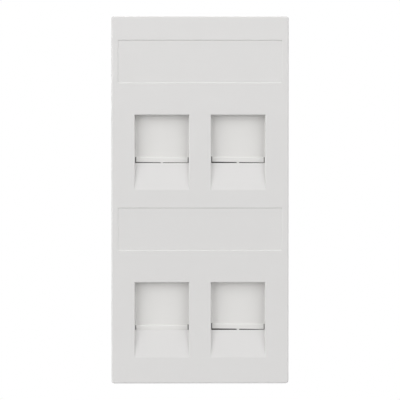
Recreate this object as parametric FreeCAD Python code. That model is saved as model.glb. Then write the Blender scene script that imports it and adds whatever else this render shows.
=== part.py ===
import FreeCAD, Part
import math
import os

# Keystone faceplate: a moulded plate with four sprung dust shutters in two rows of two, over four rear
# carriers that each take one keystone jack. It stands as it does on a wall: +X to the right and +Z up as
# seen from the front, +Y towards the wall. The origin is the middle of the rear rim, which meets the
# mounting frame. Lengths are millimetres and angles are degrees.
#
# Everything is drawn by its depth behind the front face, and moved to the row frame at the end. What
# belongs to one port is drawn about the middle of its window's top edge, so z = 0 is that edge.

# Front plate
BODY_DEPTH = 9.5
FACE_WALL = 2.0
SKIRT_WALL = 2.0
SKIRT_DRAFT = 1.0
CORNER_RADIUS = 0.9
FRONT_EDGE_RADIUS = 0.45
INNER_CORNER_RADIUS = 0.9
LABEL_HEIGHT = 12.25
LABEL_SIDE_MARGIN = 2.05
LABEL_TO_WINDOW = 9.5
LABEL_DEPTH = 0.2
LABEL_WALL_SLOPE = 0.2
LABEL_CORNER_RADIUS = 0.5
SPACE_ABOVE_CARRIERS = 6.95
SPACE_BELOW_CARRIERS = 3.65
ROW_GAP = 5.1
COLUMN_GAP = 0.6
CROSS_RIB_THICKNESS = 1.2
CROSS_RIB_DEPTH = 5.0
GUSSET_THICKNESS = 1.0
GUSSET_DEPTH = 5.0

# Window, and the finger ramp under it
WINDOW_WIDTH = 16.0
WINDOW_DEPTH = 2.5
WINDOW_RIM = 1.3
SHUTTER_OPENING = 14.1
RAMP_HEIGHT = 8.0
RAMP_DEPTH = 1.7
RAMP_CREST = 0.3
RAMP_WALL = 1.6
SILL_DROP = 1.0
WINDOW_DRAFT = 4.0
WINDOW_EDGE_RADIUS = 0.25

# Dust shutter, which slides up behind the face
SHUTTER_THICKNESS = 1.2
SHUTTER_OVERLAP = 1.0
SHUTTER_HEAD = 1.6
SHUTTER_TRAVEL = 12.0
SHUTTER_FRONT_CLEARANCE = 0.15
SHUTTER_BACK_CLEARANCE = 0.2
GUIDE_CLEARANCE = 0.4
GUIDE_RIB = 1.1
LIP_HEIGHT = 1.6
LIP_GAP = 0.22
LIP_CLEARANCE = 0.1
LIP_SIDE_GAP = 0.4
LIP_TOP_RADIUS = 0.45
LIP_BOTTOM_RADIUS = 0.2
PIP_WIDTH = 0.7
PIP_CLEARANCE = 0.02
LUG_HEIGHT = 1.5
# Shutters don't all close alike. Each has a drop, up to the largest that its pip allows, and a skew as far
# as its guides allow, which lifts the left end where it is positive.
LARGEST_DROP = 0.4
SHUTTER_SEATS = {
    "upper_left": (0.07, 0.5),
    "upper_right": (0.0, 0.8),
    "lower_left": (LARGEST_DROP, -0.7),
    "lower_right": (0.0, 0.9),
}

# Return spring, and the lug and anchor that it stands between
SPRING_DIAMETER = 2.4
SPRING_WIRE = 0.22
SPRING_COILS = 9
SPRING_STEPS_PER_COIL = 8
SPRING_LENGTH = 16.5
SPRING_END_GAP = 0.03
CLOSED_COIL_GAP = 0.04
LUG_RADIUS = 1.25
ANCHOR_RADIUS = 1.35
ANCHOR_HEIGHT = 1.5
TONGUE_WIDTH = 0.8
TONGUE_LENGTH = 1.8

# Keystone carrier
CARRIER_WALL = 1.7
CARRIER_EDGE = 0.4
CARRIER_CORNER_RADIUS = 1.0
CARRIER_TOP_EDGE = 0.4
PLUG_WIDTH = 12.4
PLUG_SILL = 0.4
PLUG_HEAD_CLEARANCE = 0.15
JACK_WIDTH = 14.9
JACK_HEIGHT = 16.5
COLLAR_WALL = 1.5
COLLAR_DEPTH = 9.4
COLLAR_CORNER_RADIUS = 0.8
LATCH_WIDTH = 10.0
LATCH_POCKET_START = 3.0
LATCH_LEDGE_START = 6.6
LATCH_LEDGE_THICKNESS = 1.6
LATCH_LEDGE_HEIGHT = 3.0
LATCH_POCKET_HEIGHT = 4.2
HOOK_GROOVE_HEIGHT = 1.5
CHANNEL_CLEARANCE = 0.5
CHANNEL_WALL = 1.0
CHANNEL_SLOT = 1.4
CHANNEL_SLOT_MARGIN = 1.2

# Screws, their pads, and the locating keys, all of which hold the carriers
PAD_WIDTH = 4.2
SCREW_ABOVE_TRAVEL = 3.4
SCREW_BELOW_COLLAR = 2.6
PILOT_RADIUS = 1.0
PILOT_CLEARANCE = 0.15
SCREW_RADIUS = 0.95
SCREW_ENGAGEMENT = 2.4
SCREW_SIDES = 6
SCREW_HEAD_RADIUS = 1.9
SCREW_HEAD_HEIGHT = 1.2
SCREW_HOLE_CLEARANCE = 0.2
RECESS_WIDTH = 0.5
RECESS_SPAN = 2.2
RECESS_DEPTH = 0.7
KEY_WIDTH = 1.8
KEY_CLEARANCE = 0.15
KEY_STANDOUT = 0.5

# Snap hooks that grip the mounting frame
FRAME_THICKNESS = 2.2
HOOK_WIDTH = 8.0
HOOK_THICKNESS = 1.2
HOOK_GAP = 0.4
HOOK_CLEARANCE = 0.3
HOOK_CATCH = 1.2
HOOK_LAND = 0.5
HOOK_TIP_LENGTH = 1.8
HOOK_TIP_TAPER = 0.3
HOOK_HEIGHT = 30.0

# How far one shape is sunk into another, or a cut runs past a face, so that they join or cut cleanly
SINK = 0.2
PAST = 1.0

# Worked out from the sizes above: depths
SHUTTER_FRONT = WINDOW_DEPTH + SHUTTER_FRONT_CLEARANCE
SHUTTER_BACK = SHUTTER_FRONT + SHUTTER_THICKNESS
LIP_FRONT = RAMP_DEPTH + RAMP_CREST + LIP_CLEARANCE
CARRIER_FRONT = SHUTTER_BACK + SHUTTER_BACK_CLEARANCE
JACK_FRONT = CARRIER_FRONT + CARRIER_WALL
COLLAR_REAR = JACK_FRONT + COLLAR_DEPTH
SPRING_AXIS = SHUTTER_FRONT + LUG_RADIUS
SCREW_END = CARRIER_FRONT - SCREW_ENGAGEMENT

# Widths, from the middle of a port
WINDOW_HALF = WINDOW_WIDTH / 2
LIP_HALF = WINDOW_HALF - LIP_SIDE_GAP
SHUTTER_HALF = WINDOW_HALF + SHUTTER_OVERLAP
GUIDE_INNER = SHUTTER_HALF + GUIDE_CLEARANCE
GUIDE_OUTER = GUIDE_INNER + GUIDE_RIB
CARRIER_HALF = GUIDE_OUTER + CARRIER_EDGE
COLLAR_HALF = JACK_WIDTH / 2 + COLLAR_WALL
SCREW_X = CARRIER_HALF - PAD_WIDTH / 2 - CARRIER_EDGE

# Heights, from the window's top edge
RAMP_TOP = -SHUTTER_OPENING
RAMP_FOOT = RAMP_TOP - RAMP_HEIGHT
SILL = RAMP_TOP - SILL_DROP
PIP_LOW = SILL + PIP_CLEARANCE + LARGEST_DROP
LIP_LOW = RAMP_TOP + LIP_GAP
LIP_HIGH = LIP_LOW + LIP_HEIGHT
PLUG_LOW = RAMP_TOP + PLUG_SILL
PLUG_HIGH = LIP_LOW + SHUTTER_TRAVEL + PLUG_HEAD_CLEARANCE
JACK_MIDDLE = (PLUG_LOW + PLUG_HIGH) / 2
JACK_LOW = JACK_MIDDLE - JACK_HEIGHT / 2
JACK_HIGH = JACK_MIDDLE + JACK_HEIGHT / 2
COLLAR_LOW = JACK_LOW - HOOK_GROOVE_HEIGHT - COLLAR_WALL
COLLAR_HIGH = JACK_HIGH + LATCH_POCKET_HEIGHT + COLLAR_WALL
SPRING_LOW = SHUTTER_HEAD
SPRING_HIGH = SPRING_LOW + SPRING_LENGTH
ANCHOR_TOP = SPRING_HIGH + ANCHOR_HEIGHT
UPPER_SCREW = SHUTTER_HEAD + SHUTTER_TRAVEL + SCREW_ABOVE_TRAVEL
LOWER_SCREW = COLLAR_LOW - SCREW_BELOW_COLLAR
CARRIER_TOP = max(ANCHOR_TOP, UPPER_SCREW + PAD_WIDTH / 2) + CARRIER_TOP_EDGE
CARRIER_BOTTOM = LOWER_SCREW - PAD_WIDTH / 2 - CARRIER_EDGE
CARRIER_HEIGHT = CARRIER_TOP - CARRIER_BOTTOM

# The whole plate
COLUMN_PITCH = 2 * CARRIER_HALF + COLUMN_GAP
ROW_PITCH = CARRIER_HEIGHT + ROW_GAP
INNER_HALF_WIDTH = COLUMN_PITCH / 2 + CARRIER_HALF + HOOK_CLEARANCE + HOOK_THICKNESS + HOOK_GAP
PLATE_HALF_WIDTH = INNER_HALF_WIDTH + SKIRT_WALL
INNER_HEIGHT = SPACE_ABOVE_CARRIERS + 2 * CARRIER_HEIGHT + ROW_GAP + SPACE_BELOW_CARRIERS
PLATE_HALF_HEIGHT = INNER_HEIGHT / 2 + SKIRT_WALL
UPPER_WINDOW_TOP = PLATE_HALF_HEIGHT - SKIRT_WALL - SPACE_ABOVE_CARRIERS - CARRIER_TOP
LOWER_WINDOW_TOP = UPPER_WINDOW_TOP - ROW_PITCH
PORTS = {
    "upper_left": (-COLUMN_PITCH / 2, UPPER_WINDOW_TOP),
    "upper_right": (COLUMN_PITCH / 2, UPPER_WINDOW_TOP),
    "lower_left": (-COLUMN_PITCH / 2, LOWER_WINDOW_TOP),
    "lower_right": (COLUMN_PITCH / 2, LOWER_WINDOW_TOP),
}
# Screws stand at one diagonal of each carrier, and locating keys at the other.
SCREW_PLACES = {"top": (-SCREW_X, UPPER_SCREW), "bottom": (SCREW_X, LOWER_SCREW)}
KEY_PLACES = [(SCREW_X, UPPER_SCREW), (-SCREW_X, LOWER_SCREW)]


def point(x, depth, z):
    """A point by its width, its depth behind the face and its height."""
    return FreeCAD.Vector(x, depth, z)


def block(x, depth, z):
    """A box between pairs of limits."""
    return Part.makeBox(x[1] - x[0], depth[1] - depth[0], z[1] - z[0], point(x[0], depth[0], z[0]))


def round_through(x, z, radius, depth):
    """A round bar or hole that runs from front to back."""
    return Part.makeCylinder(radius, depth[1] - depth[0], point(x, depth[0], z), point(0, 1, 0))


def round_upright(depth, radius, z):
    """A round bar or hole that stands upright in the middle of a port."""
    return Part.makeCylinder(radius, z[1] - z[0], point(0, depth, z[0]), point(0, 0, 1))


def tapered(front, back, radius=0):
    """A block with flat sloping sides between two rectangles, each (x, depth, z), its long edges round."""
    (x, near, z), (back_x, far, back_z) = front, back
    solid = Part.makeWedge(x[0], near, z[0], back_z[0], back_x[0], x[1], far, z[1], back_z[1], back_x[1])
    if radius > 0:
        solid = solid.makeFillet(radius, [edge for edge in solid.Edges if edge.BoundBox.YLength > SINK / 2])
    return solid


def rounded_block(x, depth, z, radius):
    """A straight block with round upright corners, as seen from the front."""
    return tapered((x, depth[0], z), (x, depth[1], z), radius)


def side_profile(corners, x):
    """A solid of one side section, given by its (depth, height) corners, carried across the width."""
    wire = Part.makePolygon([point(x[0], depth, z) for depth, z in corners + corners[:1]])
    return Part.Face(wire).extrude(point(x[1] - x[0], 0, 0))


def symmetric(half):
    """The limits of something that is centred on x = 0."""
    return (-half, half)


# Front plate

def growth(depth, draft):
    """How much wider each side is at a depth, for a draft angle."""
    return depth * math.tan(math.radians(draft))


def plate_section(depth, inset):
    """The plate's outline at a depth, moved in from the outer wall by an inset."""
    half_width = PLATE_HALF_WIDTH + growth(depth, SKIRT_DRAFT) - inset
    half_height = PLATE_HALF_HEIGHT + growth(depth, SKIRT_DRAFT) - inset
    return (symmetric(half_width), depth, symmetric(half_height))


def shell():
    """The open box of face and skirt, with a rounded front edge."""
    outer = tapered(plate_section(0, 0), plate_section(BODY_DEPTH, 0), CORNER_RADIUS)
    front_edges = [edge for edge in outer.Edges if edge.BoundBox.YMax < FRONT_EDGE_RADIUS / 2]
    outer = outer.makeFillet(FRONT_EDGE_RADIUS, front_edges)
    far = BODY_DEPTH + PAST
    inner_front = plate_section(FACE_WALL, SKIRT_WALL)
    inner = tapered(inner_front, plate_section(far, SKIRT_WALL), INNER_CORNER_RADIUS)
    return outer.cut(inner)


def ramp_limit():
    """What the window's cut leaves standing: the ramp with its crest, the sill behind it, and all below."""
    slope = RAMP_HEIGHT / RAMP_DEPTH
    low = RAMP_FOOT - (PAST + RAMP_DEPTH) * slope
    corners = [
        (-PAST, RAMP_FOOT - PAST * slope),
        (RAMP_DEPTH, RAMP_TOP),
        (RAMP_DEPTH + RAMP_CREST, RAMP_TOP),
        (RAMP_DEPTH + RAMP_CREST, SILL),
        (JACK_FRONT, SILL),
        (JACK_FRONT, low),
        (-PAST, low),
    ]
    return side_profile(corners, symmetric(GUIDE_OUTER))


def window_section(depth):
    """The window's outline at a depth."""
    half = WINDOW_HALF - growth(depth, WINDOW_DRAFT)
    return (symmetric(half), depth, (RAMP_FOOT, -growth(depth, WINDOW_DRAFT)))


def window_cut():
    """The drafted window down to the ramp, with a round front edge."""
    margin = 2 * WINDOW_EDGE_RADIUS
    slab_z = (RAMP_FOOT - margin, margin)
    slab = block(symmetric(WINDOW_HALF + margin), (-PAST, 0), slab_z)
    tool = slab.fuse(tapered(window_section(-PAST), window_section(JACK_FRONT))).removeSplitter()
    mouth = [edge for edge in tool.Edges if edge.BoundBox.YMin > -SINK and in_window(edge.BoundBox)]
    return tool.makeFillet(WINDOW_EDGE_RADIUS, mouth).cut(ramp_limit())


def in_window(bounds):
    """Whether bounds lie in the plane of the face, and inside the slab that reaches past the window."""
    inside = bounds.XMax < WINDOW_HALF + WINDOW_EDGE_RADIUS and bounds.ZMax < WINDOW_EDGE_RADIUS
    return inside and bounds.YMax < SINK and bounds.XMin > -WINDOW_HALF - WINDOW_EDGE_RADIUS


def window_rim():
    """The deeper wall round the window, whose rear edge the shutter slides on."""
    return block(symmetric(GUIDE_INNER + SINK), (FACE_WALL - SINK, WINDOW_DEPTH), (RAMP_TOP, WINDOW_RIM))


def ramp_backing():
    """Wall behind the ramp, which the sill for the shutter's pip is cut into."""
    corners = [
        (FACE_WALL - SINK, RAMP_TOP),
        (RAMP_DEPTH + RAMP_WALL, RAMP_TOP),
        (FACE_WALL, RAMP_FOOT),
        (FACE_WALL - SINK, RAMP_FOOT),
    ]
    return side_profile(corners, symmetric(GUIDE_INNER))


def guide_ribs():
    """The two upright ribs that the shutter slides between, as deep as the carrier that closes them."""
    low = RAMP_TOP - GUIDE_RIB
    high = SHUTTER_HEAD + SHUTTER_TRAVEL + GUIDE_CLEARANCE
    right = block((GUIDE_INNER, GUIDE_OUTER), (FACE_WALL - SINK, CARRIER_FRONT), (low, high))
    left = block((-GUIDE_OUTER, -GUIDE_INNER), (FACE_WALL - SINK, CARRIER_FRONT), (low, high))
    return [left, right]


def spring_anchor():
    """The block that stands in the carrier's channel and holds the spring's top end on a tongue."""
    stem = block(symmetric(ANCHOR_RADIUS), (FACE_WALL - SINK, SPRING_AXIS), (SPRING_HIGH, ANCHOR_TOP))
    nose = round_upright(SPRING_AXIS, ANCHOR_RADIUS, (SPRING_HIGH, ANCHOR_TOP))
    return stem.fuse([nose, spring_tongue((SPRING_HIGH - TONGUE_LENGTH, SPRING_HIGH + SINK))])


def spring_tongue(z):
    """The square tongue that keeps an end of the spring in place."""
    half = TONGUE_WIDTH / 2
    return block(symmetric(half), (SPRING_AXIS - half, SPRING_AXIS + half), z)


def square_bar(x, z, width, depth):
    """A square bar or hole that runs from front to back."""
    return block((x - width / 2, x + width / 2), depth, (z - width / 2, z + width / 2))


def screw_pads():
    """Pads that the carrier is screwed down on."""
    depth = (FACE_WALL - SINK, CARRIER_FRONT)
    return [square_bar(x, z, PAD_WIDTH, depth) for x, z in SCREW_PLACES.values()]


def pilot_holes():
    """Blind holes for the screws, which stop short of the face."""
    depth = (SCREW_END - PILOT_CLEARANCE, CARRIER_FRONT + PAST)
    return [round_through(x, z, PILOT_RADIUS, depth) for x, z in SCREW_PLACES.values()]


def locating_keys():
    """Square keys that stand through the carrier's wall."""
    depth = (FACE_WALL - SINK, JACK_FRONT + KEY_STANDOUT)
    return [square_bar(x, z, KEY_WIDTH, depth) for x, z in KEY_PLACES]


def snap_hooks():
    """Four springy arms that rise inside the skirt and catch behind the mounting frame."""
    outer = INNER_HALF_WIDTH - HOOK_GAP
    inner = outer - HOOK_THICKNESS
    shoulder = BODY_DEPTH + FRAME_THICKNESS
    land = shoulder + HOOK_LAND
    tip = land + HOOK_TIP_LENGTH
    corners = [
        (inner, FACE_WALL - SINK),
        (outer, FACE_WALL - SINK),
        (outer, shoulder),
        (outer + HOOK_CATCH, shoulder),
        (outer + HOOK_CATCH, land),
        (outer - HOOK_TIP_TAPER, tip),
        (inner, tip),
    ]
    hooks = []
    for side in (-1, 1):
        for middle in (-HOOK_HEIGHT, HOOK_HEIGHT):
            low = middle - HOOK_WIDTH / 2
            wire = Part.makePolygon([point(side * x, depth, low) for x, depth in corners + corners[:1]])
            hooks.append(Part.Face(wire).extrude(point(0, 0, HOOK_WIDTH)))
    return hooks


def cross_rib():
    """The rib between the two rows of carriers, from skirt to skirt."""
    middle = LOWER_WINDOW_TOP + CARRIER_TOP + ROW_GAP / 2
    z = (middle - CROSS_RIB_THICKNESS / 2, middle + CROSS_RIB_THICKNESS / 2)
    return block(symmetric(INNER_HALF_WIDTH + SINK), (FACE_WALL - SINK, FACE_WALL + CROSS_RIB_DEPTH), z)


def gussets():
    """Small triangular webs that brace the top and bottom of the skirt."""
    inner_half = INNER_HEIGHT / 2
    webs = []
    for end, reach in ((1, SPACE_ABOVE_CARRIERS), (-1, SPACE_BELOW_CARRIERS)):
        corners = [
            (FACE_WALL - SINK, end * (inner_half - reach * 2 / 3)),
            (FACE_WALL - SINK, end * (inner_half + SINK)),
            (FACE_WALL + GUSSET_DEPTH, end * (inner_half + SINK)),
        ]
        for middle in (-COLUMN_PITCH / 2, 0, COLUMN_PITCH / 2):
            x = (middle - GUSSET_THICKNESS / 2, middle + GUSSET_THICKNESS / 2)
            webs.append(side_profile(corners, x))
    return webs


def label_recesses():
    """A shallow recess with sloping walls above each row, where a stick-on label goes."""
    cuts = []
    half = PLATE_HALF_WIDTH - LABEL_SIDE_MARGIN
    for window_top in (UPPER_WINDOW_TOP, LOWER_WINDOW_TOP):
        low = window_top + LABEL_TO_WINDOW
        high = low + LABEL_HEIGHT
        spread = 2 * LABEL_WALL_SLOPE
        mouth = (symmetric(half + spread), -LABEL_DEPTH, (low - spread, high + spread))
        floor = (symmetric(half), LABEL_DEPTH, (low, high))
        cuts.append(tapered(mouth, floor, LABEL_CORNER_RADIUS))
    return cuts


def front_plate():
    """The one-piece moulding that carries everything else."""
    supports = [window_rim(), ramp_backing(), spring_anchor()]
    supports += guide_ribs() + screw_pads() + locating_keys()
    cuts = [window_cut(), *pilot_holes()]
    added = [cross_rib(), *snap_hooks(), *gussets()]
    removed = label_recesses()
    for x, window_top in PORTS.values():
        added += [moved(shape, x, window_top) for shape in supports]
        removed += [moved(shape, x, window_top) for shape in cuts]
    return shell().fuse(added).removeSplitter().cut(removed)


# Dust shutter

def shutter_lip():
    """The bar that a plug pushes up by, round along its front edges."""
    bar = block(symmetric(LIP_HALF), (LIP_FRONT, SHUTTER_BACK), (LIP_LOW, LIP_HIGH))
    for radius, z in ((LIP_TOP_RADIUS, LIP_HIGH), (LIP_BOTTOM_RADIUS, LIP_LOW)):
        bar = bar.makeFillet(radius, [edge for edge in bar.Edges if is_along(edge, LIP_FRONT, z)])
    return bar


def is_along(edge, depth, z):
    """Whether an edge runs across the width at a depth and a height."""
    bounds = edge.BoundBox
    near = abs(bounds.YMin - depth) + abs(bounds.YMax - depth) + abs(bounds.ZMin - z) + abs(bounds.ZMax - z)
    return near < SINK / 2


def shutter(drop, skew):
    """The sliding shutter: a flat blade, its lip, a pip to stand on, and a lug for the spring."""
    blade = block(symmetric(SHUTTER_HALF), (SHUTTER_FRONT, SHUTTER_BACK), (LIP_HIGH, SHUTTER_HEAD))
    pip_z = (PIP_LOW, LIP_LOW + LIP_BOTTOM_RADIUS)
    pip = block(symmetric(PIP_WIDTH / 2), (LIP_FRONT, SHUTTER_BACK), pip_z)
    lug = round_upright(SPRING_AXIS, LUG_RADIUS, (SHUTTER_HEAD - LUG_HEIGHT, SHUTTER_HEAD))
    tongue = spring_tongue((SHUTTER_HEAD - SINK, SHUTTER_HEAD + TONGUE_LENGTH))
    whole = blade.fuse([shutter_lip(), pip, lug, tongue]).removeSplitter()
    whole.rotate(point(0, 0, PIP_LOW), point(0, 1, 0), skew)
    whole.translate(point(0, 0, -drop))
    return whole


# Return spring

def coil_height(turns, drop):
    """Height of the wire after some turns: one closed coil at each end, even pitch between them."""
    closed = SPRING_WIRE + CLOSED_COIL_GAP
    low = SPRING_LOW - drop + SPRING_END_GAP + SPRING_WIRE / 2
    rise = SPRING_LENGTH + drop - 2 * SPRING_END_GAP - SPRING_WIRE
    pitch = (rise - 2 * closed) / (SPRING_COILS - 2)
    at_low_end = min(turns, 1.0) * closed
    at_high_end = max(turns - (SPRING_COILS - 1), 0.0) * closed
    between = min(max(turns - 1.0, 0.0), SPRING_COILS - 2) * pitch
    return low + at_low_end + between + at_high_end


def wire_section(turns, drop):
    """The four-sided section of the wire after some turns, in the plane of the spring's axis."""
    angle = 2 * math.pi * turns
    corners = []
    for corner in range(5):
        around = math.pi / 2 * corner
        radius = (SPRING_DIAMETER - SPRING_WIRE) / 2 + SPRING_WIRE / 2 * math.cos(around)
        height = coil_height(turns, drop) + SPRING_WIRE / 2 * math.sin(around)
        corners.append(point(radius * math.cos(angle), SPRING_AXIS + radius * math.sin(angle), height))
    return Part.makePolygon(corners)


def return_spring(drop):
    """The compression spring over a shutter, as flat-sided steps round a helix."""
    steps = SPRING_COILS * SPRING_STEPS_PER_COIL
    sections = [wire_section(step / SPRING_STEPS_PER_COIL, drop) for step in range(steps + 1)]
    return Part.makeLoft(sections, True, True)


# Keystone carrier

def latch_cuts():
    """What the jack's two catches need: a groove below the mouth, and a pocket and ledge above it."""
    ledge = JACK_FRONT + LATCH_LEDGE_START
    ledge_back = ledge + LATCH_LEDGE_THICKNESS
    past_rear = COLLAR_REAR + PAST
    latch_x = symmetric(LATCH_WIDTH / 2)
    ledge_z = (JACK_HIGH - SINK, JACK_HIGH + LATCH_LEDGE_HEIGHT)
    pocket_z = (JACK_HIGH - SINK, JACK_HIGH + LATCH_POCKET_HEIGHT)
    return [
        block(latch_x, (JACK_FRONT + LATCH_POCKET_START, ledge), pocket_z),
        block(latch_x, (ledge - SINK, ledge_back + SINK), ledge_z),
        block(latch_x, (ledge_back, past_rear), pocket_z),
        block(latch_x, (ledge_back, past_rear), (JACK_LOW - HOOK_GROOVE_HEIGHT, JACK_LOW + SINK)),
    ]


def channel_hump():
    """The half-round cover that the spring runs under."""
    radius = LUG_RADIUS + CHANNEL_CLEARANCE + CHANNEL_WALL
    hump = round_upright(SPRING_AXIS, radius, (COLLAR_HIGH - SINK, CARRIER_TOP))
    return hump.common(block(symmetric(radius), (CARRIER_FRONT, SPRING_AXIS + radius), (0, CARRIER_TOP)))


def channel_cuts():
    """The spring's channel, open to the front, and the slot in its cover."""
    radius = LUG_RADIUS + CHANNEL_CLEARANCE
    low = SHUTTER_HEAD - LUG_HEIGHT - LARGEST_DROP - GUIDE_CLEARANCE
    channel = round_upright(SPRING_AXIS, radius, (low, CARRIER_TOP + PAST))
    mouth = block(symmetric(radius), (CARRIER_FRONT - PAST, SPRING_AXIS), (low, CARRIER_TOP + PAST))
    slot_z = (COLLAR_HIGH + CHANNEL_SLOT_MARGIN, SPRING_HIGH - CHANNEL_SLOT_MARGIN)
    slot_depth = (SPRING_AXIS, SPRING_AXIS + radius + CHANNEL_WALL + PAST)
    return [channel, mouth, block(symmetric(CHANNEL_SLOT / 2), slot_depth, slot_z)]


def carrier_webs():
    """Triangular webs that brace the collar's sides against the wall."""
    webs = []
    for side in (-1, 1):
        for z in (JACK_LOW + COLLAR_WALL, JACK_HIGH - 2 * COLLAR_WALL):
            corners = [
                (side * (COLLAR_HALF - SINK), JACK_FRONT - SINK),
                (side * (CARRIER_HALF - CARRIER_EDGE), JACK_FRONT - SINK),
                (side * (COLLAR_HALF - SINK), JACK_FRONT + COLLAR_DEPTH / 2),
            ]
            wire = Part.makePolygon([point(x, depth, z) for x, depth in corners + corners[:1]])
            webs.append(Part.Face(wire).extrude(point(0, 0, GUSSET_THICKNESS)))
    return webs


def keystone_carrier():
    """The rear moulding behind one port: it holds the shutter in, and the jack behind the shutter."""
    wall_limits = (symmetric(CARRIER_HALF), (CARRIER_FRONT, JACK_FRONT), (CARRIER_BOTTOM, CARRIER_TOP))
    wall = rounded_block(*wall_limits, CARRIER_CORNER_RADIUS)
    collar_limits = (symmetric(COLLAR_HALF), (JACK_FRONT - SINK, COLLAR_REAR), (COLLAR_LOW, COLLAR_HIGH))
    collar = rounded_block(*collar_limits, COLLAR_CORNER_RADIUS)
    cuts = latch_cuts() + channel_cuts()
    cuts.append(block(symmetric(JACK_WIDTH / 2), (JACK_FRONT, COLLAR_REAR + PAST), (JACK_LOW, JACK_HIGH)))
    through = (CARRIER_FRONT - PAST, JACK_FRONT + PAST)
    cuts.append(block(symmetric(PLUG_WIDTH / 2), through, (PLUG_LOW, PLUG_HIGH)))
    hole_radius = SCREW_RADIUS + SCREW_HOLE_CLEARANCE
    cuts += [round_through(x, z, hole_radius, through) for x, z in SCREW_PLACES.values()]
    cuts += [square_bar(x, z, KEY_WIDTH + 2 * KEY_CLEARANCE, through) for x, z in KEY_PLACES]
    return wall.fuse([collar, channel_hump(), *carrier_webs()]).removeSplitter().cut(cuts)


# Carrier screw

def carrier_screw():
    """A pan-head screw with a cross recess. A six-sided shank stands in for its thread."""
    top = JACK_FRONT + SCREW_HEAD_HEIGHT
    head = round_through(0, 0, SCREW_HEAD_RADIUS, (JACK_FRONT, top))
    angles = [2 * math.pi * side / SCREW_SIDES for side in range(SCREW_SIDES + 1)]
    corners = [point(SCREW_RADIUS * math.cos(a), SCREW_END, SCREW_RADIUS * math.sin(a)) for a in angles]
    shank = Part.Face(Part.makePolygon(corners)).extrude(point(0, JACK_FRONT + SINK - SCREW_END, 0))
    recess = (top - RECESS_DEPTH, top + PAST)
    across = block(symmetric(RECESS_SPAN / 2), recess, symmetric(RECESS_WIDTH / 2))
    upright = block(symmetric(RECESS_WIDTH / 2), recess, symmetric(RECESS_SPAN / 2))
    return head.fuse(shank).cut([across, upright])


# Assembly

def moved(shape, x, z):
    """A copy of a shape, moved across the plate."""
    copy = shape.copy()
    copy.translate(point(x, 0, z))
    return copy


def whole():
    """Every piece by its name, drawn by depth behind the face."""
    nodes = {"front_plate": front_plate()}
    carrier = keystone_carrier()
    screw = carrier_screw()
    for name, (x, window_top) in PORTS.items():
        drop, skew = SHUTTER_SEATS[name]
        nodes["keystone_carrier_" + name] = moved(carrier, x, window_top)
        nodes["shutter_" + name] = moved(shutter(drop, skew), x, window_top)
        nodes["shutter_spring_" + name] = moved(return_spring(drop), x, window_top)
        for place, (screw_x, screw_z) in SCREW_PLACES.items():
            nodes["carrier_screw_" + name + "_" + place] = moved(screw, x + screw_x, window_top + screw_z)
    return nodes


def write_parts():
    os.makedirs("parts", exist_ok=True)
    for name, shape in whole().items():
        shape.translate(point(0, -BODY_DEPTH, 0))
        shape.exportStep("parts/" + name + ".step")


write_parts()
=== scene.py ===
import bpy
import numpy as np
from bpy.props import FloatProperty, FloatVectorProperty, IntProperty, PointerProperty
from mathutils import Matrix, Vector


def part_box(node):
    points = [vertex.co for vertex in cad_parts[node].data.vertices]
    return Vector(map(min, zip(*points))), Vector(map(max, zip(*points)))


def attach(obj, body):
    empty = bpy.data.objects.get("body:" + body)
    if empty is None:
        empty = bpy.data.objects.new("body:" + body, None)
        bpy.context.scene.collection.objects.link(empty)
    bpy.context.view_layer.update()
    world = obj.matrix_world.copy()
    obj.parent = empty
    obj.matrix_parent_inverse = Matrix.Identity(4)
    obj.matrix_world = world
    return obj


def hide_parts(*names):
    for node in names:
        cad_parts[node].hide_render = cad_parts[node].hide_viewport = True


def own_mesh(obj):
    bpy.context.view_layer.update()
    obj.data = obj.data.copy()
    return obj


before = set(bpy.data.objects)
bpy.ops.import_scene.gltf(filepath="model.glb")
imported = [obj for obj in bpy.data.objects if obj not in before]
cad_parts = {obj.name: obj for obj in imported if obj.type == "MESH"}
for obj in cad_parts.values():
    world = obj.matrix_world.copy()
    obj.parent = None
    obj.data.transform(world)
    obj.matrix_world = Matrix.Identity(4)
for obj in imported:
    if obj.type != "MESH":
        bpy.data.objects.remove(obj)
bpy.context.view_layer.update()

bl_info = {
    "name": "Keystone faceplate",
    "version": (1, 0, 0),
    "blender": (4, 5, 0),
    "location": "3D View > Sidebar > Keystone faceplate",
    "description": "Finishes a keystone faceplate and makes its springs, screws and plain white stage",
    "category": "Object",
}

MM = 0.001
ROOT_BODY = "plate"


# Nodes by kind

def nodes_named(start):
    """The CAD nodes whose names begin with a word, in a fixed order."""
    return [name for name in sorted(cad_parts) if name.startswith(start)]


# Materials

# The range that a noise texture seldom leaves
NOISE_LOW = 0.3
NOISE_HIGH = 0.7

# The sockets of a Mix node that mixes colours
MIX_FACTOR = 0
MIX_FIRST = 6
MIX_SECOND = 7
MIX_RESULT = 2

ABS_IOR = 1.53
FLOW_MARK_SIZE = 9.0 * MM
FLOW_MARK_SHARE = 0.012
GRAIN_ROUGHNESS = 0.05
GRAIN_STRENGTH = 0.5

DIE_MARK_SIZE = 0.06 * MM
DIE_MARK_SHARE = 0.08
STEEL_ROUGHNESS = (0.24, 0.38)

MOTTLE_SIZE = 0.7 * MM
MOTTLE_SHARE = 0.07
ZINC_ROUGHNESS = (0.26, 0.42)
PIT_SIZE = 0.12 * MM
PIT_DEPTH = 0.01 * MM
PIT_STRENGTH = 0.15


def linear(hex_colour):
    """An sRGB hex colour as linear red, green and blue."""
    values = [int(hex_colour[i : i + 2], 16) / 255 for i in (1, 3, 5)]
    return tuple(v / 12.92 if v <= 0.04045 else ((v + 0.055) / 1.055) ** 2.4 for v in values)


def shade(colour, share):
    """A colour times a share, with alpha, and with no value above 1."""
    return (*(min(value * share, 1.0) for value in colour), 1.0)


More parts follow.
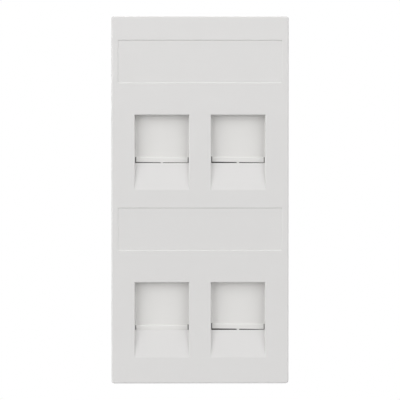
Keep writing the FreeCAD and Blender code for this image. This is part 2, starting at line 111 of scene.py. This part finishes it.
def add_node(tree, kind, settings=None, links=None):
    """Add one node.

    Settings are the values of its sockets, by name or number, and of its own properties. Links are the
    outputs that its sockets read.
    """
    node = tree.nodes.new(kind)
    for key, value in (settings or {}).items():
        if isinstance(key, int) or key in node.inputs:
            node.inputs[key].default_value = value
        else:
            setattr(node, key, value)
    for key, source in (links or {}).items():
        tree.links.new(source, node.inputs[key])
    return node


def new_material(name, settings):
    """A material with its shader set to constant values, and the tree to add patterns to."""
    material = bpy.data.materials.new(name)
    material.use_nodes = True
    shader = material.node_tree.nodes["Principled BSDF"]
    for key, value in settings.items():
        shader.inputs[key].default_value = value
    return material, material.node_tree, shader


def noise_settings(size, detail, roughness):
    """What a noise texture is set to, for features of about a real size."""
    return {"Scale": 1 / size, "Detail": detail, "Roughness": roughness}


def vary_finish(tree, shader, tone, colour, share, gloss, roughness):
    """Let patterns drive the shader.

    The tone shifts the colour by a share either way, and the gloss takes the roughness over its range.
    """
    dark = shade(colour, 1 - share)
    light = shade(colour, 1 + share)
    shades = {"data_type": "RGBA", MIX_FIRST: dark, MIX_SECOND: light}
    mix = add_node(tree, "ShaderNodeMix", shades, {MIX_FACTOR: tone})
    tree.links.new(mix.outputs[MIX_RESULT], shader.inputs["Base Color"])
    limits = {"From Min": NOISE_LOW, "From Max": NOISE_HIGH}
    limits["To Min"], limits["To Max"] = roughness
    spread = add_node(tree, "ShaderNodeMapRange", limits, {"Value": gloss})
    tree.links.new(spread.outputs["Result"], shader.inputs["Roughness"])


def moulded_abs(name, colour, roughness, grain_size, grain_depth):
    """Moulded ABS: an even colour with faint flow marks, and the fine spark-eroded grain of its mould.

    The flow marks are nearly a centimetre wide and barely show. The grain breaks up the highlights, so that
    flat faces look satin and their edges stay soft.
    """
    material, tree, shader = new_material(name, {"IOR": ABS_IOR})
    place = add_node(tree, "ShaderNodeTexCoord").outputs["Object"]
    mark_noise = noise_settings(FLOW_MARK_SIZE, detail=3.0, roughness=0.55)
    marks = add_node(tree, "ShaderNodeTexNoise", mark_noise, {"Vector": place}).outputs["Fac"]
    grain_noise = noise_settings(grain_size, detail=2.0, roughness=0.6)
    grain = add_node(tree, "ShaderNodeTexNoise", grain_noise, {"Vector": place}).outputs["Fac"]
    gloss_range = (roughness - GRAIN_ROUGHNESS, roughness + GRAIN_ROUGHNESS)
    vary_finish(tree, shader, marks, colour, FLOW_MARK_SHARE, grain, gloss_range)
    depth = {"Strength": GRAIN_STRENGTH, "Distance": grain_depth}
    bump = add_node(tree, "ShaderNodeBump", depth, {"Height": grain})
    tree.links.new(bump.outputs["Normal"], shader.inputs["Normal"])
    return material


def drawn_steel(colour):
    """Drawn spring wire: bright steel, with a fine mottle from its die that softens the shine."""
    material, tree, shader = new_material("drawn_spring_steel", {"Metallic": 1.0})
    place = add_node(tree, "ShaderNodeTexCoord").outputs["Object"]
    mark_noise = noise_settings(DIE_MARK_SIZE, detail=1.0, roughness=0.5)
    mottle = add_node(tree, "ShaderNodeTexNoise", mark_noise, {"Vector": place}).outputs["Fac"]
    vary_finish(tree, shader, mottle, colour, DIE_MARK_SHARE, mottle, STEEL_ROUGHNESS)
    return material


def zinc_plate(colour):
    """Zinc-plated steel: a cool bright metal, clouded by its passivation, with fine pits in its shine."""
    material, tree, shader = new_material("zinc_plated_steel", {"Metallic": 1.0})
    place = add_node(tree, "ShaderNodeTexCoord").outputs["Object"]
    cloud_noise = noise_settings(MOTTLE_SIZE, detail=3.0, roughness=0.5)
    mottle = add_node(tree, "ShaderNodeTexNoise", cloud_noise, {"Vector": place}).outputs["Fac"]
    vary_finish(tree, shader, mottle, colour, MOTTLE_SHARE, mottle, ZINC_ROUGHNESS)
    pit_noise = noise_settings(PIT_SIZE, detail=2.0, roughness=0.5)
    pits = add_node(tree, "ShaderNodeTexNoise", pit_noise, {"Vector": place}).outputs["Fac"]
    depth = {"Strength": PIT_STRENGTH, "Distance": PIT_DEPTH}
    bump = add_node(tree, "ShaderNodeBump", depth, {"Height": pits})
    tree.links.new(bump.outputs["Normal"], shader.inputs["Normal"])
    return material


def finish(piece, material):
    """Give a piece one material all over."""
    piece.data.materials.clear()
    piece.data.materials.append(material)


# Surfaces

# How many wires the closed turn at each end of a spring climbs
CLOSED_TURN_RISE = 1.15

# The radius of the first ring on a screw's crown, as a share of the head's
CROWN_START = 0.02

# How high over its underside the head starts to be pressed in, as a share of the crown's height
RECESS_LIMIT = 0.25

# The width of the recess's sloping walls, as a share of an arm's width
RECESS_SLOPE = 0.35

# Where the thread starts, in pitches under the head
THREAD_START = 0.5

# How near to the thread's own line its ridge starts, and over how much more it rises to its crest. Midway
# between two turns is 0, and the line is 1.
RIDGE_FOOT = 0.55
RIDGE_FLANK = 0.35

# The width of a screw's tip, as a share of its core
TIP_SHARE = 0.35


def surface(name, points):
    """A closed smooth piece from a grid of points: along, around, and x, y, z.

    The second direction closes on itself. A fan to the middle of its ring closes each end of the first.
    """
    rings, around = points.shape[:2]
    middles = np.stack([points[0].mean(0), points[-1].mean(0)])
    corners = np.concatenate([points.reshape(-1, 3), middles])
    here = np.arange(around)
    after = (here + 1) % around
    ring = np.arange(rings - 1)[:, None] * around
    following = ring + around
    quads = np.stack([ring + here, following + here, following + after, ring + after], axis=-1)
    last = (rings - 1) * around
    first_middle = np.full(around, rings * around)
    first_fan = np.stack([first_middle, here, after], axis=-1)
    last_fan = np.stack([first_middle + 1, last + after, last + here], axis=-1)
    mesh = bpy.data.meshes.new(name)
    faces = quads.reshape(-1, 4).tolist() + first_fan.tolist() + last_fan.tolist()
    mesh.from_pydata(corners.tolist(), [], faces)
    mesh.polygons.foreach_set("use_smooth", np.full(len(mesh.polygons), True))
    mesh.update()
    piece = bpy.data.objects.new(name, mesh)
    bpy.context.scene.collection.objects.link(piece)
    return piece


def coil_points(middle, low, high, settings):
    """The wire of a compression spring, as a circle carried along a helix.

    After t turns the helix is at angle 2 pi t. Its height climbs one wire and a hair over the first turn and
    over the last, and evenly between them. The circle stands in the plane of the spring's axis.
    """
    wire = settings.wire
    turns = np.linspace(0, settings.coils, settings.coils * settings.steps_per_coil + 1)
    closed = wire * CLOSED_TURN_RISE
    at = [0, 1, settings.coils - 1, settings.coils]
    heights = [low + wire / 2, low + wire / 2 + closed, high - wire / 2 - closed, high - wire / 2]
    height = np.interp(turns, at, heights)[:, None]
    angle = (2 * np.pi * turns)[:, None]
    around = np.linspace(0, 2 * np.pi, settings.wire_sides, endpoint=False)[None]
    radius = (settings.diameter - wire) / 2 + wire / 2 * np.cos(around)
    x = middle.x + radius * np.cos(angle)
    y = middle.y + radius * np.sin(angle)
    return np.stack([x, y, height + wire / 2 * np.sin(around)], axis=-1)


def thread_ridge(level, angle, pitch):
    """How far the thread stands out at a level and an angle, from 0 between its ridges to 1 on them.

    The thread's line is where (level / pitch - angle / 2 pi) is whole. The ridge is flat on top there and
    falls evenly on both sides.
    """
    nearness = np.abs((level / pitch - angle / (2 * np.pi)) % 1 - 0.5) * 2
    return np.clip((nearness - RIDGE_FOOT) / RIDGE_FLANK, 0, 1)


def cross_recess(x, z, settings):
    """How deep a point of the head lies in the cross, from 0 outside it to 1 on its floor.

    A point is as far inside an arm as the arm's nearest side is away, and the depth rises evenly with that.
    An arm's outline runs halfway up its sloping walls.
    """
    narrow = settings.recess_width / 2
    wide = settings.recess_span / 2
    across = np.minimum(wide - np.abs(x), narrow - np.abs(z))
    upright = np.minimum(narrow - np.abs(x), wide - np.abs(z))
    slope = settings.recess_width * RECESS_SLOPE
    return np.clip(np.maximum(across, upright) / slope + 0.5, 0, 1)


def screw_points(middle, tip, top, settings):
    """A pan-head screw as one turned surface, from the middle of its head to its tip.

    The profile is a quarter ellipse for the crown, a short rim, the underside and the shank, which ends in a
    short cone. The thread is added to the shank's radius and fades with the cone. The cross is taken from
    the head's level.
    """
    head = settings.head_diameter / 2
    core = settings.core_diameter / 2
    under = top - settings.head_height
    rise = np.linspace(0, np.pi / 2, settings.crown_rings)
    crown_radius = np.maximum(head * np.sin(rise), head * CROWN_START)
    crown_level = top - settings.crown_height * (1 - np.cos(rise))
    shank_level = np.linspace(under, tip, settings.shank_rings)
    taper = np.clip((shank_level - tip) / (2 * core), TIP_SHARE, 1.0)
    level = np.concatenate([crown_level, [under], shank_level])[:, None]
    radius = np.concatenate([crown_radius, [head], core * taper])[:, None]
    angle = np.linspace(0, 2 * np.pi, settings.sides, endpoint=False)[None]
    on_shank = np.concatenate([np.zeros(settings.crown_rings + 1), taper])[:, None]
    threaded = on_shank * (level < under - settings.pitch * THREAD_START)
    height = settings.thread_diameter / 2 - core
    radius = radius + thread_ridge(level, angle, settings.pitch) * threaded * height
    x = radius * np.cos(angle)
    z = radius * np.sin(angle)
    pressable = level > under + settings.crown_height * RECESS_LIMIT
    y = level - cross_recess(x, z, settings) * pressable * settings.recess_depth
    return np.stack([middle.x + x, y, middle.z + z], axis=-1)


# Settings

def length_setting(name, description, default_mm):
    """A length, with its default given in millimetres."""
    return FloatProperty(
        name=name, description=description, default=default_mm * MM, unit="LENGTH", precision=5
    )


def colour_setting(name, description, hex_colour):
    """A colour, with its default given as an sRGB hex value."""
    return FloatVectorProperty(
        name=name, description=description, default=linear(hex_colour), min=0.0, max=1.0, subtype="COLOR",
        size=3,
    )


def share_setting(name, description, default, low=0.0):
    """A value of at most 1."""
    return FloatProperty(
        name=name, description=description, default=default, min=low, max=1.0, subtype="FACTOR"
    )


def power_setting(name, description, watts):
    """A lamp's power."""
    return FloatProperty(
        name=name, description=description, default=watts, min=0.0, subtype="POWER", unit="POWER"
    )


def brightness_setting(name, description, default):
    """The brightness of the surroundings, where 1 is white."""
    return FloatProperty(name=name, description=description, default=default, min=0.0)


def count_setting(name, description, default, low, high):
    """A number of points, rings or turns."""
    return IntProperty(name=name, description=description, default=default, min=low, max=high)


class PlasticSettings(bpy.types.PropertyGroup):
    """Colours, gloss and grain of the mouldings."""

    plate_colour: colour_setting("Plate colour", "Colour of the white moulding in front", "#E1E0DF")
    plate_roughness: share_setting("Plate roughness", "Roughness of the white moulding", 0.42, 0.1)
    plate_grain_depth: length_setting("Plate grain depth", "Depth of the white moulding's grain", 0.006)
    # The shutter colour is lighter than the plate's: painted light that makes up for the shade in the
    # shutters' recesses.
    shutter_colour_with_painted_light: colour_setting("Shutter colour", "Colour of the sliding shutters", "#E6E5E3")
    shutter_roughness: share_setting("Shutter roughness", "Roughness of the shutters", 0.38, 0.1)
    shutter_grain_depth: length_setting("Shutter grain depth", "Depth of the shutters' grain", 0.004)
    grain: length_setting("Grain", "Size of the white grain, coarser than real so that it shows", 0.35)
    # The carriers' dark colour is painted shade: it darkens the narrow slots at the ends of the shutter
    # lips, where the carriers show through.
    carrier_painted_shade_colour: colour_setting("Carrier colour", "Colour of the rear mouldings", "#1E1E20")
    carrier_roughness: share_setting("Carrier roughness", "Roughness of the rear mouldings", 0.5, 0.1)
    carrier_grain: length_setting("Carrier grain", "Size of the rear grain, coarser than real", 0.5)
    carrier_grain_depth: length_setting("Carrier grain depth", "Depth of the rear grain", 0.02)


class SpringSettings(bpy.types.PropertyGroup):
    """Sizes and colour of the return springs."""

    diameter: length_setting("Diameter", "Outer diameter of the coil", 2.4)
    wire: length_setting("Wire", "Diameter of the wire", 0.22)
    coils: count_setting("Coils", "Turns from end to end", 14, 4, 30)
    steps_per_coil: count_setting("Steps", "Sections in each turn", 36, 12, 96)
    wire_sides: count_setting("Wire sides", "Points round the wire", 10, 6, 24)
    steel: colour_setting("Steel", "Colour of the wire", "#B4B5B8")


class ScrewSettings(bpy.types.PropertyGroup):
    """Sizes and colour of the carrier screws."""

    head_diameter: length_setting("Head", "Diameter of the head", 3.8)
    head_height: length_setting("Head height", "Height of the head", 1.2)
    crown_height: length_setting("Crown", "Height of the rounded crown", 0.7)
    core_diameter: length_setting("Core", "Diameter of the shank between the threads", 1.6)
    thread_diameter: length_setting("Thread", "Diameter over the threads", 2.15)
    pitch: length_setting("Pitch", "Distance from thread to thread", 0.8)
    recess_width: length_setting("Recess width", "Width of each arm of the cross", 0.5)
    recess_span: length_setting("Recess span", "Length of each arm of the cross", 2.2)
    recess_depth: length_setting("Recess depth", "Depth of the cross", 0.6)
    sides: count_setting("Sides", "Points round the screw", 96, 24, 192)
    crown_rings: count_setting("Crown rings", "Rings on the crown", 30, 8, 96)
    shank_rings: count_setting("Shank rings", "Rings on the shank", 48, 16, 192)
    plating: colour_setting("Plating", "Colour of the zinc", "#C3C6CB")


class StageSettings(bpy.types.PropertyGroup):
    """Camera, lamps, surroundings and floor."""

    view_width: length_setting("View width", "Width that the camera sees in the plane of the face", 117.3)
    camera_distance: length_setting("Camera distance", "Distance from the camera to the face", 500.0)
    camera_side: length_setting("Camera side", "How far right of the middle the camera stands", -5.0)
    camera_height: length_setting("Camera height", "How far above the middle the camera stands", 8.0)
    left_power: power_setting("Left box", "Power of the wide soft lamp at the front left", 5.2)
    right_power: power_setting("Right box", "Power of the wide soft lamp at the front right", 4.35)
    top_power: power_setting("Top lamp", "Power of the smaller lamp above the plate", 0.42)
    rim_power: power_setting("Rim lamp", "Power of the lamp that lights the left edge", 1.6)
    back_power: power_setting("Back lamp", "Power of the lamp above and behind", 3.5)
    ahead: brightness_setting("Ahead", "Brightness of the surroundings in front", 0.0)
    behind: brightness_setting("Behind", "Brightness of the surroundings behind", 0.85)
    floor_drop: length_setting("Floor drop", "How far the floor lies below the middle of the plate", 120.0)
    floor_radius: length_setting("Floor radius", "Radius of the floor", 330.0)
    floor_veil: share_setting("Floor veil", "How clear the floor is in its middle", 0.4)
    floor_colour: colour_setting("Floor colour", "Colour of the floor", "#F0F0F0")


# Stage

# The width of the camera's sensor in millimetres, and the nearest and farthest that it sees in metres
SENSOR_WIDTH = 36.0
NEAREST = 0.01
FARTHEST = 20.0

# Each lamp's name, its place and the length of its sides in metres, and the setting that holds its power
LAMPS = (
    ("left_box", (-0.6, -0.55, 0.15), 0.8, "left_power"),
    ("right_box", (0.6, -0.55, 0.15), 0.8, "right_power"),
    ("top_lamp", (0.0, -0.15, 0.3), 0.3, "top_power"),
    ("rim_lamp", (-0.9, 0.02, 0.1), 0.3, "rim_power"),
    ("back_lamp", (0.0, 0.4, 0.7), 0.5, "back_power"),
)

FLOOR_SIDES = 96

# Where the floor starts to fade and where it is gone, as shares of its radius
FADE_START = 0.2
FADE_END = 0.95


def make_camera(settings):
    """A long lens a little to the left and a little above, aimed at the middle of the face."""
    data = bpy.data.cameras.new("camera")
    data.sensor_width = SENSOR_WIDTH
    data.lens = data.sensor_width * settings.camera_distance / settings.view_width
    data.clip_start = NEAREST
    data.clip_end = FARTHEST
    camera = bpy.data.objects.new("camera", data)
    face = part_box("front_plate")[0].y
    camera.location = (settings.camera_side, face - settings.camera_distance, settings.camera_height)
    aim = Vector((0, face, 0)) - Vector(camera.location)
    camera.rotation_euler = aim.to_track_quat("-Z", "Y").to_euler()
    bpy.context.scene.collection.objects.link(camera)
    bpy.context.scene.camera = camera


def make_lamp(name, place, side, watts):
    """A square soft lamp aimed at the middle of the plate."""
    data = bpy.data.lights.new(name, "AREA")
    data.size = side
    data.energy = watts
    lamp = bpy.data.objects.new(name, data)
    lamp.location = place
    lamp.rotation_euler = (-Vector(place)).to_track_quat("-Z", "Y").to_euler()
    bpy.context.scene.collection.objects.link(lamp)


def make_surroundings(settings):
    """A world that is white to the camera and through clear pieces.

    As light it has one level over the whole front half, and from there it rises evenly towards the back.
    """
    world = bpy.data.worlds.new("surroundings")
    world.use_nodes = True
    bpy.context.scene.world = world
    tree = world.node_tree
    tree.nodes.clear()
    path = add_node(tree, "ShaderNodeLightPath").outputs
    rays = {0: path["Is Camera Ray"], 1: path["Is Transmission Ray"]}
    seen = add_node(tree, "ShaderNodeMath", {"operation": "MAXIMUM"}, rays)
    ray = add_node(tree, "ShaderNodeTexCoord").outputs["Generated"]
    backward = add_node(tree, "ShaderNodeSeparateXYZ", {}, {"Vector": ray}).outputs["Y"]
    levels = {"To Min": settings.ahead, "To Max": settings.behind}
    ambient = add_node(tree, "ShaderNodeMapRange", levels, {"Value": backward}).outputs["Result"]
    links = {"Value": seen.outputs[0], "To Min": ambient}
    strength = add_node(tree, "ShaderNodeMapRange", {"To Max": 1.0}, links)
    white = {"Color": (1.0, 1.0, 1.0, 1.0)}
    light = add_node(tree, "ShaderNodeBackground", white, {"Strength": strength.outputs["Result"]})
    add_node(tree, "ShaderNodeOutputWorld", {}, {"Surface": light.outputs["Background"]})


def make_floor(settings):
    """A round floor that keeps the shadow in its middle and fades into the white surroundings."""
    radius = settings.floor_radius
    angle = np.linspace(0, 2 * np.pi, FLOOR_SIDES, endpoint=False)
    level = np.full(FLOOR_SIDES, -settings.floor_drop)
    rim = np.stack([radius * np.cos(angle), radius * np.sin(angle), level], axis=-1)
    mesh = bpy.data.meshes.new("floor")
    mesh.from_pydata(rim.tolist(), [], [list(range(FLOOR_SIDES))])
    floor = bpy.data.objects.new("floor", mesh)
    bpy.context.scene.collection.objects.link(floor)
    matt = {"Base Color": (*settings.floor_colour, 1.0), "Roughness": 0.9, "Specular IOR Level": 0.1}
    material, tree, shader = new_material("matt_white_floor", matt)
    place = add_node(tree, "ShaderNodeTexCoord").outputs["Object"]
    flat = add_node(tree, "ShaderNodeVectorMath", {"operation": "MULTIPLY", 1: (1.0, 1.0, 0.0)}, {0: place})
    away = add_node(tree, "ShaderNodeVectorMath", {"operation": "LENGTH"}, {0: flat.outputs["Vector"]})
    edge = {
        "interpolation_type": "SMOOTHSTEP",
        "From Min": radius * FADE_START,
        "From Max": radius * FADE_END,
        "To Min": settings.floor_veil,
    }
    fade = add_node(tree, "ShaderNodeMapRange", edge, {"Value": away.outputs["Value"]})
    clear = add_node(tree, "ShaderNodeBsdfTransparent")
    sources = {0: fade.outputs["Result"], 1: shader.outputs["BSDF"], 2: clear.outputs["BSDF"]}
    mix = add_node(tree, "ShaderNodeMixShader", {}, sources)
    tree.links.new(mix.outputs["Shader"], tree.nodes["Material Output"].inputs["Surface"])
    finish(floor, material)


# Operators

class KEYSTONE_OT_plate(bpy.types.Operator):
    """Finish the front plate as moulded ABS"""

    bl_idname = "keystone.plate"
    bl_label = "Finish the plate"

    def execute(self, context):
        plastic = context.scene.keystone_plastic
        material = moulded_abs(
            "moulded_white_abs", plastic.plate_colour, plastic.plate_roughness, plastic.grain,
            plastic.plate_grain_depth,
        )
        finish(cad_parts["front_plate"], material)
        return {"FINISHED"}


class KEYSTONE_OT_shutters(bpy.types.Operator):
    """Finish the shutters as moulded ABS, slightly glossier than the plate, and painted lighter than it to
    make up for the shade in their recesses
    """

    bl_idname = "keystone.shutters"
    bl_label = "Finish the shutters"

    def execute(self, context):
        plastic = context.scene.keystone_plastic
        # The shutters get a lighter copy of the plate's white, as painted light against the shade of their
        # recesses.
        material = moulded_abs(
            "moulded_shutter_abs", plastic.shutter_colour_with_painted_light, plastic.shutter_roughness, plastic.grain,
            plastic.shutter_grain_depth,
        )
        for node in nodes_named("shutter_"):
            if not node.startswith("shutter_spring"):
                finish(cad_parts[node], material)
        return {"FINISHED"}


class KEYSTONE_OT_carriers(bpy.types.Operator):
    """Finish the keystone carriers as moulded ABS, painted dark as shade for the slots where they show
    behind the shutters
    """

    bl_idname = "keystone.carriers"
    bl_label = "Finish the carriers"

    def execute(self, context):
        plastic = context.scene.keystone_plastic
        # The dark carrier colour is painted shade for the slots at the ends of the shutter lips.
        material = moulded_abs(
            "moulded_black_abs", plastic.carrier_painted_shade_colour, plastic.carrier_roughness, plastic.carrier_grain,
            plastic.carrier_grain_depth,
        )
        for node in nodes_named("keystone_carrier"):
            finish(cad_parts[node], material)
        return {"FINISHED"}


class KEYSTONE_OT_springs(bpy.types.Operator):
    """Make the return springs of round wire"""

    bl_idname = "keystone.springs"
    bl_label = "Make the springs"

    def execute(self, context):
        settings = context.scene.keystone_spring
        material = drawn_steel(settings.steel)
        for node in nodes_named("shutter_spring"):
            low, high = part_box(node)
            middle = (low + high) / 2
            spring = surface("round_wire_" + node, coil_points(middle, low.z, high.z, settings))
            finish(spring, material)
            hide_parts(node)
            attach(spring, ROOT_BODY)
            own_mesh(spring)
        return {"FINISHED"}


class KEYSTONE_OT_screws(bpy.types.Operator):
    """Make the carrier screws with crowned heads, cross recesses and threads"""

    bl_idname = "keystone.screws"
    bl_label = "Make the screws"

    def execute(self, context):
        settings = context.scene.keystone_screw
        material = zinc_plate(settings.plating)
        for node in nodes_named("carrier_screw"):
            low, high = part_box(node)
            middle = (low + high) / 2
            screw = surface("threaded_" + node, screw_points(middle, low.y, high.y, settings))
            finish(screw, material)
            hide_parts(node)
            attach(screw, ROOT_BODY)
        return {"FINISHED"}


class KEYSTONE_OT_stage(bpy.types.Operator):
    """Set up the camera, the lamps, the white surroundings and the floor"""

    bl_idname = "keystone.stage"
    bl_label = "Set the stage"

    def execute(self, context):
        settings = context.scene.keystone_stage
        context.scene.view_settings.view_transform = "Standard"
        make_camera(settings)
        for name, place, side, setting in LAMPS:
            make_lamp(name, place, side, getattr(settings, setting))
        make_surroundings(settings)
        make_floor(settings)
        return {"FINISHED"}


# Add-on

OPERATORS = (
    KEYSTONE_OT_plate,
    KEYSTONE_OT_shutters,
    KEYSTONE_OT_carriers,
    KEYSTONE_OT_springs,
    KEYSTONE_OT_screws,
    KEYSTONE_OT_stage,
)
SETTINGS = {
    "keystone_plastic": PlasticSettings,
    "keystone_spring": SpringSettings,
    "keystone_screw": ScrewSettings,
    "keystone_stage": StageSettings,
}


class KEYSTONE_PT_panel(bpy.types.Panel):
    """Lists the operators in the order in which they are used, and the settings that they read"""

    bl_label = "Keystone faceplate"
    bl_idname = "KEYSTONE_PT_panel"
    bl_space_type = "VIEW_3D"
    bl_region_type = "UI"
    bl_category = "Keystone faceplate"

    def draw(self, context):
        for operator in OPERATORS:
            self.layout.operator(operator.bl_idname)
        for group in SETTINGS:
            settings = getattr(context.scene, group)
            box = self.layout.box()
            for key in settings.__annotations__:
                box.prop(settings, key)


def register():
    """Make the classes and the scene's settings known."""
    for group in (*SETTINGS.values(), *OPERATORS, KEYSTONE_PT_panel):
        bpy.utils.register_class(group)
    for name, group in SETTINGS.items():
        setattr(bpy.types.Scene, name, PointerProperty(type=group))


def unregister():
    """Take them away again, in the opposite order."""
    for name in SETTINGS:
        delattr(bpy.types.Scene, name)
    for group in (KEYSTONE_PT_panel, *reversed(OPERATORS), *reversed(SETTINGS.values())):
        bpy.utils.unregister_class(group)


def main():
    register()
    for operator in OPERATORS:
        group, action = operator.bl_idname.split(".")
        getattr(getattr(bpy.ops, group), action)()


if __name__ == "__main__":
    main()
